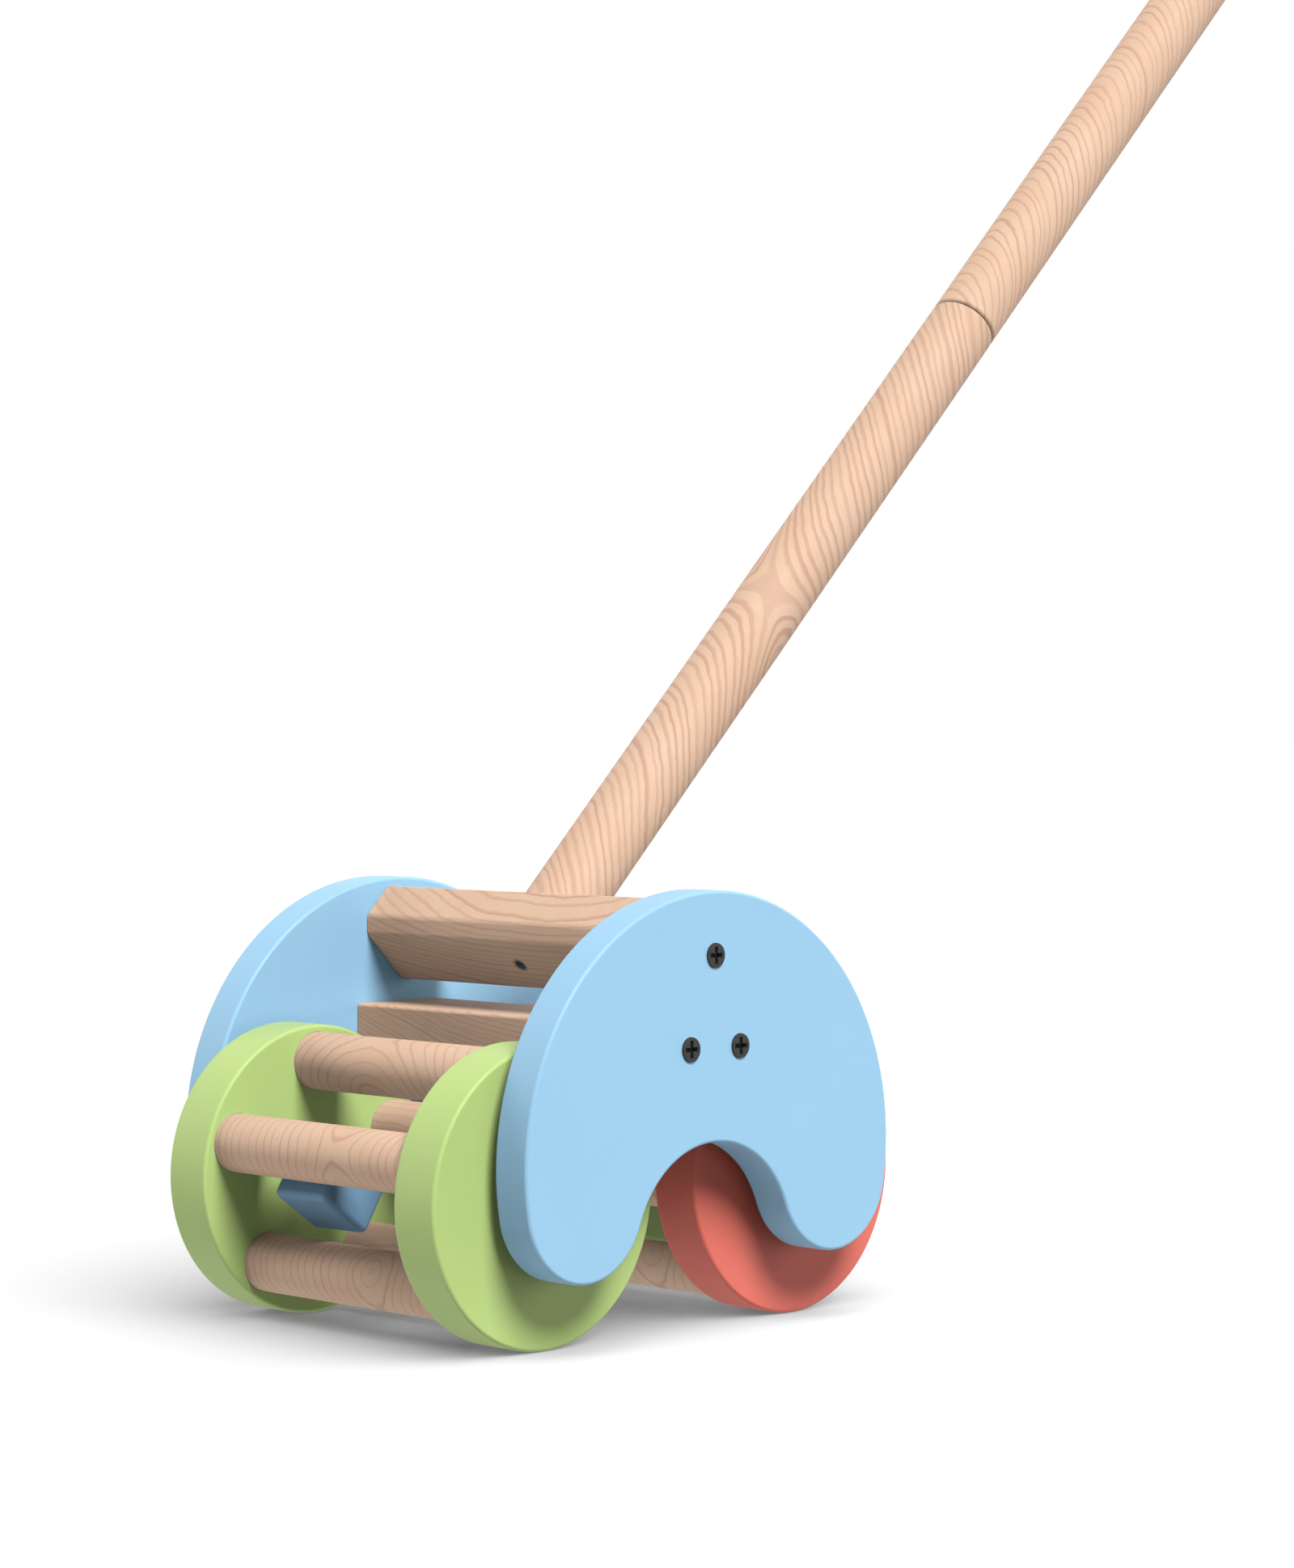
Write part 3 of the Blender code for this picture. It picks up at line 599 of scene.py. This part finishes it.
def add_turned(bm, profile, steps, place=Matrix.Identity(4), ring=False):
    """Turn (radius, height) points round local Z; a ring's profile closes on itself."""
    rings = []
    for radius, height in profile:
        if radius == 0:
            rings.append([bm.verts.new(place @ Vector((0, 0, height)))])
            continue
        verts = []
        for step in range(steps):
            angle = 2 * math.pi * step / steps
            point = Vector((radius * math.cos(angle), radius * math.sin(angle), height))
            verts.append(bm.verts.new(place @ point))
        rings.append(verts)
    pairs = list(zip(rings, rings[1:]))
    if ring:
        pairs.append((rings[-1], rings[0]))
    for low, high in pairs:
        for step in range(steps):
            after = (step + 1) % steps
            if len(low) == 1:
                bm.faces.new((low[0], high[step], high[after]))
            elif len(high) == 1:
                bm.faces.new((low[step], high[0], low[after]))
            else:
                bm.faces.new((low[step], high[step], high[after], low[after]))


def turned(profile, steps, ring=False):
    """A bmesh of one turned shape."""
    bm = bmesh.new()
    add_turned(bm, profile, steps, ring=ring)
    return bm


def hole(radius, low, high):
    """Half profile of a plain cutter."""
    return [(0, low), (radius, low), (radius, high), (0, high)]


def add_prism(bm, outline, low, high, place=Matrix.Identity(4), low_share=1):
    """Extrude an (x, y) outline along local Z; low_share shrinks its low end."""
    bottom = [bm.verts.new(place @ Vector((x * low_share, y * low_share, low))) for x, y in outline]
    top = [bm.verts.new(place @ Vector((x, y, high))) for x, y in outline]
    bm.faces.new(bottom[::-1])
    bm.faces.new(top)
    for step in range(len(outline)):
        after = (step + 1) % len(outline)
        bm.faces.new((bottom[step], bottom[after], top[after], top[step]))


def round_edges(bm, edges, size, steps=ROUND_STEPS):
    """Round the chosen edges."""
    bmesh.ops.bevel(
        bm, geom=edges, offset=size, segments=steps, profile=ROUND_PROFILE, affect="EDGES"
    )


def round_long_edges(bm, longer_than):
    """Round a wooden bar's edges that run along Y for more than the given length."""
    bmesh.ops.recalc_face_normals(bm, faces=bm.faces)
    spans = [(edge, abs((edge.verts[0].co - edge.verts[1].co).y)) for edge in bm.edges]
    round_edges(bm, [edge for edge, span in spans if span > longer_than], WOOD_EDGE_ROUND)


def along_y(place=(0, 0, 0), side=1):
    """Frame at a point whose local Z runs along world Y, towards the given side."""
    return Matrix.Translation(place) @ Matrix.Rotation(-side * math.pi / 2, 4, "X")


def arc(centre, radius, start, end, steps):
    """Points on an arc, without its last point."""
    points = []
    for step in range(steps):
        angle = start + (end - start) * step / steps
        points.append((centre[0] + radius * math.cos(angle), centre[1] + radius * math.sin(angle)))
    return points


def panel_outline(node):
    """Outline of an arched side in (x from its middle, height over the axles)."""
    low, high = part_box(node)
    axle = middle_of("front_axle_left")
    reach = axle.x - MIDDLE_X
    leg_radius = axle.z - low.z
    crown_radius = (high.x - low.x) / 2
    crown_height = high.z - crown_radius - axle.z
    notch_reach = NOTCH_OVER_AXLE + leg_radius
    notch_height = (notch_reach ** 2 - reach ** 2) / (2 * notch_reach)
    notch_radius = NOTCH_OVER_AXLE - notch_height
    crown_end = math.atan2(-crown_height, reach)
    notch_end = math.atan2(-notch_height, reach)
    half, turn = math.pi, 2 * math.pi
    crown = arc((0, crown_height), crown_radius, crown_end, half - crown_end, CROWN_STEPS)
    back_leg = arc((-reach, 0), leg_radius, half - crown_end, turn - notch_end, LEG_STEPS)
    notch = arc((0, notch_height), notch_radius, half - notch_end, notch_end, NOTCH_STEPS)
    front_leg = arc((reach, 0), leg_radius, half + notch_end, turn + crown_end, LEG_STEPS)
    return crown + back_leg + notch + front_leg


def screw_shape():
    """Half profile of a pointed countersunk screw, whose head ends a little over height 0."""
    return [
        (0, -SCREW_LENGTH),
        (SCREW_SHANK_RADIUS, SCREW_POINT_LENGTH - SCREW_LENGTH),
        (SCREW_SHANK_RADIUS, -SCREW_RIM - SCREW_CONE_LENGTH),
        (SCREW_HEAD_RADIUS, -SCREW_RIM),
        (SCREW_HEAD_RADIUS, SCREW_PROUD),
        (0, SCREW_PROUD),
    ]


def screw_way():
    """Half profile of the countersunk hole that such a screw goes through."""
    head, shank = SCREW_HEAD_RADIUS + SNUG_GAP, SCREW_SHANK_RADIUS + SNUG_GAP
    return [
        (0, -SCREW_LENGTH),
        (shank, -SCREW_LENGTH),
        (shank, -SCREW_RIM - SCREW_CONE_LENGTH),
        (head, -SCREW_RIM),
        (head, CUT_OVERRUN),
        (0, CUT_OVERRUN),
    ]


def side_panel(word, side):
    """One arched side, with screw holes and blind axle seats."""
    node = "side_panel_" + word
    low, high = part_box(node)
    centre = Vector((MIDDLE_X, (low.y + high.y) / 2, middle_of("front_axle_left").z))
    half = (high.y - low.y) / 2
    bm = bmesh.new()
    add_prism(bm, [(x, -z) for x, z in panel_outline(node)], -half, half, along_y())
    bmesh.ops.recalc_face_normals(bm, faces=bm.faces)
    offsets = [(edge, abs(edge.verts[0].co.y + edge.verts[1].co.y) / 2) for edge in bm.edges]
    rims = [edge for edge, offset in offsets if abs(offset - half) < half / 2]
    round_edges(bm, rims, PANEL_EDGE_ROUND)
    panel = finished(node, bm, BLUE_PAINT, Matrix.Translation(centre))

    holes = bmesh.new()
    for place in ("upper", *ENDS):
        screw = middle_of(f"{place}_screw_{word}") - centre
        at = along_y((screw.x, side * half, screw.z), side)
        add_turned(holes, screw_way(), SMALL_STEPS, at)
    for end in ENDS:
        axle = f"{end}_axle_{word}"
        depth = reach_along_y(axle)[1] - abs(centre.y) + half + SNUG_GAP
        seat = hole(AXLE_RADIUS + SNUG_GAP, -CUT_OVERRUN, depth)
        at = along_y((middle_of(axle).x - centre.x, -side * half, 0), side)
        add_turned(holes, seat, DOWEL_STEPS, at)
    cut(panel, holes)
    flatten_shading(panel)


def side_screw(place, word, side):
    """A countersunk cross-head screw, whose head stands a little proud of its side."""
    node = f"{place}_screw_{word}"
    low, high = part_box(node)
    head = high.y if side > 0 else low.y
    centre = middle_of(node)
    at = along_y((centre.x, head, centre.z), side)
    screw = finished(node, turned(screw_shape(), SMALL_STEPS), BLACK_STEEL, at)
    reach, half = CROSS_REACH, CROSS_ARM_WIDTH / 2
    arm = ((reach, -half), (reach, half), (half, half))
    outline = []
    for quarter in range(4):
        spin = Matrix.Rotation(quarter * math.pi / 2, 2)
        outline += [tuple(spin @ Vector(point)) for point in arm]
    recess = bmesh.new()
    add_prism(recess, outline, -CROSS_DEPTH, SCREW_PROUD + SNUG_GAP, low_share=CROSS_TIP_SHARE)
    cut(screw, recess)


def screw_seats(node, places, into):
    """Pilot holes at both ends of a cross piece, in the piece's own frame."""
    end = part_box(node)[1].y
    bm = bmesh.new()
    for place in places:
        for word, side in SIDES:
            screw = f"{place}_screw_{word}"
            centre = middle_of(screw)
            tip = reach_along_y(screw)[0] - SNUG_GAP
            bore = hole(SCREW_SHANK_RADIUS + SNUG_GAP, 0, end - tip + CUT_OVERRUN)
            at = into @ along_y((centre.x, side * tip, centre.z), side)
            add_turned(bm, bore, SMALL_STEPS, at)
    return bm


def handle_block():
    """The upper block, square to the handle, with two chamfers along its lower front face."""
    low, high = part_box("handle_block")
    wide, thick = BLOCK_WIDTH / 2, BLOCK_THICKNESS / 2
    outline = [
        (-wide, thick),
        (wide, thick),
        (wide, BLOCK_CHAMFER - thick),
        (wide - BLOCK_CHAMFER, -thick),
        (BLOCK_CHAMFER - wide, -thick),
        (-wide, BLOCK_CHAMFER - thick),
    ]
    bm = bmesh.new()
    add_prism(bm, outline, low.y, high.y, Matrix.Rotation(math.pi / 2, 4, "X"))
    round_long_edges(bm, high.y)
    block = finished("handle_block", bm, WOODS["handle_block"], LEAN_FRAME)
    floor = thick - TENON_LENGTH
    mortise = hole(TENON_RADIUS + SNUG_GAP, floor - JOINT_GAP, thick + CUT_OVERRUN)
    head, shank = BOLT_HEAD_RADIUS + SNUG_GAP, BOLT_SHANK_RADIUS + SNUG_GAP
    ledge = BOLT_HEAD_LENGTH + SNUG_GAP - thick
    start, end = -thick - CUT_OVERRUN, floor + CUT_OVERRUN
    way = [(0, start), (head, start), (head, ledge), (shank, ledge), (shank, end), (0, end)]
    seats = screw_seats("handle_block", ("upper",), LEAN_FRAME.inverted())
    cut(block, seats, turned(mortise, DOWEL_STEPS))
    cut(block, turned(way, SMALL_STEPS))
    flatten_shading(block)


def cross_bar():
    """The flat lower bar between the sides."""
    low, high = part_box("cross_bar")
    centre = (low + high) / 2
    half = high - centre
    outline = [(-half.x, -half.z), (half.x, -half.z), (half.x, half.z), (-half.x, half.z)]
    bm = bmesh.new()
    add_prism(bm, outline, -half.y, half.y, along_y())
    round_long_edges(bm, half.y)
    at = Matrix.Translation(centre)
    bar = finished("cross_bar", bm, WOODS["cross_bar"], at)
    cut(bar, screw_seats("cross_bar", ENDS, at.inverted()))
    flatten_shading(bar)


def along_lean(node):
    """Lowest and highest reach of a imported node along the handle's line."""
    into = LEAN_FRAME.inverted()
    heights = [(into @ v.co).z for v in frame["nodes"][node].data.vertices]
    return min(heights), max(heights)


def handle_section(node, profile, *ways):
    """One section of the handle, turned from its profile and bored."""
    section = finished(node, turned(profile, HANDLE_STEPS), WOODS[node], LEAN_FRAME)
    cut(section, *(turned(way, SMALL_STEPS) for way in ways))
    flatten_shading(section)


def handle():
    """Both handle sections and the bolt in the block."""
    start, joint_low = along_lean("handle_lower")
    joint_high, tip = along_lean("handle_upper")
    pin_low, pin_high = along_lean("handle_joiner")
    bolt_low, bolt_high = along_lean("handle_bolt")
    shoulder = BLOCK_THICKNESS / 2 + JOINT_GAP / 2
    lower = [
        (0, start),
        (TENON_RADIUS, start),
        (TENON_RADIUS, shoulder),
        (HANDLE_RADIUS, shoulder),
        *corner(HANDLE_RADIUS, joint_low, 1, HANDLE_JOINT_ROUND),
        (0, joint_low),
    ]
    pin_radius = half_width("handle_joiner") + JOINT_GAP
    bolt_way = hole(BOLT_SHANK_RADIUS + SNUG_GAP, start - CUT_OVERRUN, bolt_high + JOINT_GAP)
    pin_way = hole(pin_radius, pin_low - JOINT_GAP, joint_low + CUT_OVERRUN)
    handle_section("handle_lower", lower, bolt_way, pin_way)

    upper = [
        (0, joint_high),
        *corner(HANDLE_RADIUS, joint_high, -1, HANDLE_JOINT_ROUND),
        *corner(HANDLE_RADIUS, tip, 1, HANDLE_TIP_ROUND, TIP_ROUND_STEPS),
        (0, tip),
    ]
    pin_way = hole(pin_radius, joint_high - CUT_OVERRUN, pin_high + JOINT_GAP)
    handle_section("handle_upper", upper, pin_way)

    ledge = bolt_low + BOLT_HEAD_LENGTH
    profile = [
        (0, bolt_low),
        (BOLT_HEAD_RADIUS, bolt_low),
        (BOLT_HEAD_RADIUS, ledge),
        (BOLT_SHANK_RADIUS, ledge),
        (BOLT_SHANK_RADIUS, bolt_high),
        (0, bolt_high),
    ]
    bolt = finished("handle_bolt", turned(profile, SMALL_STEPS), GREY_STEEL, LEAN_FRAME)
    socket = hole(BOLT_SOCKET_RADIUS, bolt_low - CUT_OVERRUN, bolt_low + BOLT_SOCKET_DEPTH)
    cut(bolt, turned(socket, SOCKET_SIDES))


def drum_disc(end, word, side, material):
    """A painted wheel disc with blind seats for its dowels and its axle."""
    node = f"{end}_disc_{word}"
    low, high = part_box(node)
    centre = (low + high) / 2
    half = (high.y - low.y) / 2
    radius = (high.z - low.z) / 2
    at = along_y(centre, side)
    wheel = turned(rod(radius, -half, half, DISC_EDGE_ROUND), DISC_STEPS)
    disc = finished(node, wheel, material, at)
    holes = bmesh.new()
    for number in DOWEL_NUMBERS:
        dowel = f"{end}_dowel_{number}"
        reach = reach_along_y(dowel)[1] - abs(centre.y)
        place = at.inverted() @ middle_of(dowel)
        seat = hole(DOWEL_RADIUS + SNUG_GAP, -half - CUT_OVERRUN, reach + SNUG_GAP)
        add_turned(holes, seat, DOWEL_STEPS, Matrix.Translation((place.x, place.y, 0)))
    depth = reach_along_y(f"{end}_axle_{word}")[0] - abs(centre.y)
    seat = hole(AXLE_RADIUS + SNUG_GAP, depth - SNUG_GAP, half + CUT_OVERRUN)
    add_turned(holes, seat, DOWEL_STEPS)
    cut(disc, holes)
    flatten_shading(disc)


def round_rod(node, radius, end_round, material):
    """A plain round rod along Y, in the place of a packed one."""
    half = half_width(node)
    bm = turned(rod(radius, -half, half, end_round), DOWEL_STEPS)
    finished(node, bm, material, along_y(middle_of(node)))


def washer(node):
    """A flat nylon washer with eased edges."""
    half = half_width(node)
    inner = AXLE_RADIUS + SNUG_GAP
    outer = eased_wall(WASHER_RADIUS, -half, half, WASHER_EDGE_ROUND)
    bm = turned([(inner, -half), *outer, (inner, half)], DOWEL_STEPS, ring=True)
    flatten_shading(finished(node, bm, NYLON, along_y(middle_of(node))))


def loose_cube(node, material):
    """A painted cube with rounded edges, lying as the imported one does."""
    tilt, yaw = CUBE_REST[node]
    turn = Matrix.Rotation(yaw, 4, "Z") @ Matrix.Rotation(-tilt, 4, "Y")
    bm = bmesh.new()
    bmesh.ops.create_cube(bm, size=CUBE_EDGE)
    round_edges(bm, bm.edges[:], CUBE_EDGE_ROUND, CUBE_ROUND_STEPS)
    flatten_shading(finished(node, bm, material, Matrix.Translation(middle_of(node)) @ turn))


def joining_pin():
    """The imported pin, hidden in the handle's joint, in the look of steel."""
    joiner = frame["nodes"]["handle_joiner"]
    joiner.data.materials.clear()
    joiner.data.materials.append(GREY_STEEL)


def seen_directly(nodes):
    """One for rays from the camera, a reflection or a refraction, and zero for soft light."""
    path = nodes.add("ShaderNodeLightPath").outputs
    mirror = nodes.math("MAXIMUM", path["Is Glossy Ray"], path["Is Transmission Ray"])
    return nodes.math("MAXIMUM", path["Is Camera Ray"], mirror)


def pale_floor():
    """A wide floor that takes shadows and throws no soft light on the toy."""
    bm = bmesh.new()
    bmesh.ops.create_grid(bm, size=FLOOR_SIZE / 2)
    mesh = bpy.data.meshes.new("floor")
    bm.to_mesh(mesh)
    bm.free()
    floor = bpy.data.objects.new("floor", mesh)
    floor.location.z = -FLOOR_DROP
    floor.visible_diffuse = False
    floor.visible_shadow = False
    bpy.context.scene.collection.objects.link(floor)
    material = bpy.data.materials.new("floor_white")
    material.use_nodes = True
    shader = material.node_tree.nodes["Principled BSDF"].inputs
    shader["Base Color"].default_value = (FLOOR_SEEN, FLOOR_SEEN, FLOOR_SEEN, 1.0)
    shader["Roughness"].default_value = 1.0
    shader["Specular IOR Level"].default_value = 0.0
    mesh.materials.append(material)
    return floor


def surround():
    """White where it is seen, and for soft light a bright wall behind and a glow from below."""
    world = bpy.data.worlds.new("studio")
    world.use_nodes = True
    nodes = Nodes(world.node_tree)
    backdrop = world.node_tree.nodes["Background"].inputs
    backdrop["Color"].default_value = (1.0, 1.0, 1.0, 1.0)
    way = nodes.add("ShaderNodeTexCoord").outputs["Generated"]
    height = nodes.vector("DOT_PRODUCT", way, (0, 0, 1))
    forward = nodes.vector("DOT_PRODUCT", way, TOWARDS_CAMERA)
    wall = nodes.ease(forward, -WALL_TURN, WALL_TURN, BACK_WALL_GLOW, FRONT_WALL_GLOW)
    band = nodes.ease(height, WALL_TOP - WALL_TOP_FADE, WALL_TOP + WALL_TOP_FADE, 1.0, 0.0)
    wall_glow = nodes.math("MULTIPLY", wall, band)
    above = nodes.math("MULTIPLY", nodes.math("GREATER_THAN", height, 0.0), wall_glow)
    near = nodes.vector("DOT_PRODUCT", way, (0, 1, 0))
    floor_glow = nodes.ease(near, *FLOOR_NEAR_WINDOW, FLOOR_GLOW, FLOOR_GLOW_NEAR)
    below = nodes.math("MULTIPLY", nodes.math("LESS_THAN", height, 0.0), floor_glow)
    glow = nodes.math("ADD", above, below)
    white = seen_directly(nodes)
    soft = nodes.math("MULTIPLY", glow, nodes.math("SUBTRACT", 1.0, white))
    nodes.feed(backdrop["Strength"], nodes.math("ADD", soft, white))
    bpy.context.scene.world = world


def far_lamp(name, level, softness):
    """A lamp that shines from far off, along the key's direction."""
    lamp = bpy.data.lights.new(name, "SUN")
    lamp.energy = level
    lamp.angle = softness
    obj = bpy.data.objects.new(name, lamp)
    obj.rotation_mode = "QUATERNION"
    obj.rotation_quaternion = (-KEY_DIRECTION).to_track_quat("-Z", "Y")
    bpy.context.scene.collection.objects.link(obj)
    return obj


def studio():
    """Floor and surround, a broad key for the toy and a still softer lamp for the floor."""
    floor = pale_floor()
    surround()
    key = far_lamp("key", KEY_LEVEL, KEY_SOFTNESS)
    but_floor = bpy.data.collections.new("all_but_floor")
    but_floor.objects.link(floor)
    but_floor.collection_objects[0].light_linking.link_state = "EXCLUDE"
    key.light_linking.receiver_collection = but_floor
    overhead = far_lamp("floor_lamp", FLOOR_LAMP_LEVEL, FLOOR_LAMP_SOFTNESS)
    only_floor = bpy.data.collections.new("only_floor")
    only_floor.objects.link(floor)
    overhead.light_linking.receiver_collection = only_floor


def camera():
    """Camera at the photograph's angle, with its framing as a lens shift."""
    data = bpy.data.cameras.new("camera")
    data.sensor_fit = "AUTO"
    data.sensor_width = SENSOR
    data.lens = FOCAL_PIXELS / PHOTO_HEIGHT * SENSOR
    data.shift_x = (PHOTO_WIDTH / 2 - VIEW_CENTRE_PIXELS[0]) / PHOTO_HEIGHT
    data.shift_y = (VIEW_CENTRE_PIXELS[1] - PHOTO_HEIGHT / 2) / PHOTO_HEIGHT
    data.clip_start = NEAREST_SEEN
    data.clip_end = 2 * FLOOR_SIZE
    obj = bpy.data.objects.new("camera", data)
    level = Vector((math.cos(CAMERA_YAW), math.sin(CAMERA_YAW), 0)) * math.cos(CAMERA_PITCH)
    forward = level + Vector((0, 0, math.sin(CAMERA_PITCH)))
    obj.location = Vector((MIDDLE_X, 0, 0)) + CAMERA_FROM_MIDDLE
    obj.rotation_mode = "QUATERNION"
    obj.rotation_quaternion = forward.to_track_quat("-Z", "Y")
    bpy.context.scene.collection.objects.link(obj)
    bpy.context.scene.camera = obj


for word, side in SIDES:
    side_panel(word, side)
    for place in ("upper", *ENDS):
        side_screw(place, word, side)
handle_block()
cross_bar()
handle()
for end, disc_paint in zip(ENDS, (GREEN_PAINT, CORAL_PAINT)):
    for word, side in SIDES:
        drum_disc(end, word, side, disc_paint)
        round_rod(f"{end}_axle_{word}", AXLE_RADIUS, AXLE_END_ROUND, WOODS["axle"])
        washer(f"{end}_washer_{word}")
    for number in DOWEL_NUMBERS:
        wood = WOODS[f"dowel_{number}"]
        round_rod(f"{end}_dowel_{number}", DOWEL_RADIUS, DOWEL_END_ROUND, wood)
loose_cube("front_cube", CUBE_BLUE_PAINT)
loose_cube("back_cube", CUBE_GREEN_PAINT)
joining_pin()
studio()
camera()
bpy.context.scene.view_settings.view_transform = "Standard"
